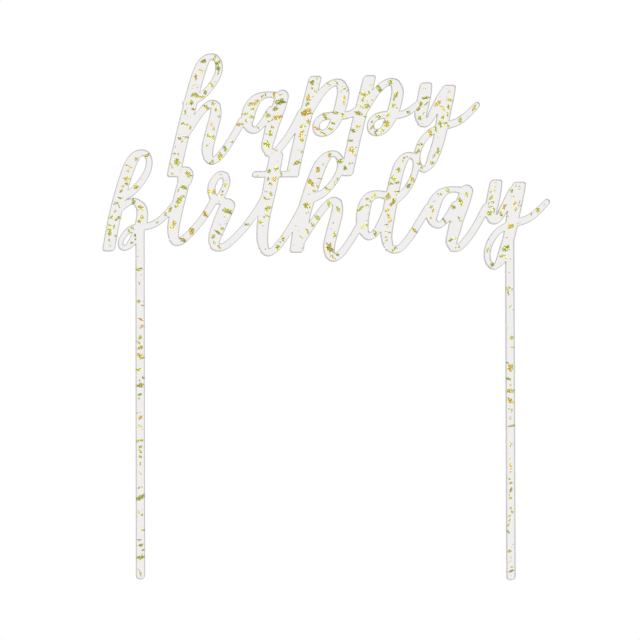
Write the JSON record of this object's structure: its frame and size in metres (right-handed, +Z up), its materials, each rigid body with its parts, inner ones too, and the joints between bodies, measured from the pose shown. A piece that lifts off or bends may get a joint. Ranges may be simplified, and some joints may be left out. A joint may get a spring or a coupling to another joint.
{
  "type": "cake topper",
  "caption": "Flat script greeting cut from clear acrylic sheet with gold leaf flakes inside, on two long stakes that push into a cake.",
  "frame": {"origin": "midway between the two stakes, level with their tips, in the middle of the sheet's thickness", "axes": "+Z up along the stakes, -Y out of the face the words are read from, +X to the reader's right"},
  "size_m": [0.1612, 0.003, 0.1891],
  "materials": {
    "acrylic": "clear gloss",
    "resin": "clear gloss",
    "yellow_gold": "crumpled leaf",
    "orange_gold": "crumpled leaf"
  },
  "bodies": {
    "root": {"front_sheet": "acrylic", "orange_flakes_left_stake": "orange_gold", "orange_flakes_lower_a": "orange_gold", "orange_flakes_lower_b": "orange_gold", "orange_flakes_lower_d": "orange_gold", "orange_flakes_lower_h": "orange_gold", "orange_flakes_lower_i": "orange_gold", "orange_flakes_lower_r": "orange_gold", "orange_flakes_lower_t": "orange_gold", "orange_flakes_lower_y": "orange_gold", "orange_flakes_right_stake": "orange_gold", "orange_flakes_second_p": "orange_gold", "orange_flakes_upper_a": "orange_gold", "orange_flakes_upper_h": "orange_gold", "orange_flakes_upper_p": "orange_gold", "orange_flakes_upper_y": "orange_gold", "rear_sheet": "acrylic", "resin_film": "resin", "yellow_flakes_left_stake": "yellow_gold", "yellow_flakes_lower_a": "yellow_gold", "yellow_flakes_lower_b": "yellow_gold", "yellow_flakes_lower_d": "yellow_gold", "yellow_flakes_lower_h": "yellow_gold", "yellow_flakes_lower_i": "yellow_gold", "yellow_flakes_lower_r": "yellow_gold", "yellow_flakes_lower_t": "yellow_gold", "yellow_flakes_lower_y": "yellow_gold", "yellow_flakes_right_stake": "yellow_gold", "yellow_flakes_second_p": "yellow_gold", "yellow_flakes_upper_a": "yellow_gold", "yellow_flakes_upper_h": "yellow_gold", "yellow_flakes_upper_p": "yellow_gold", "yellow_flakes_upper_y": "yellow_gold"}
  },
  "joints": []
}
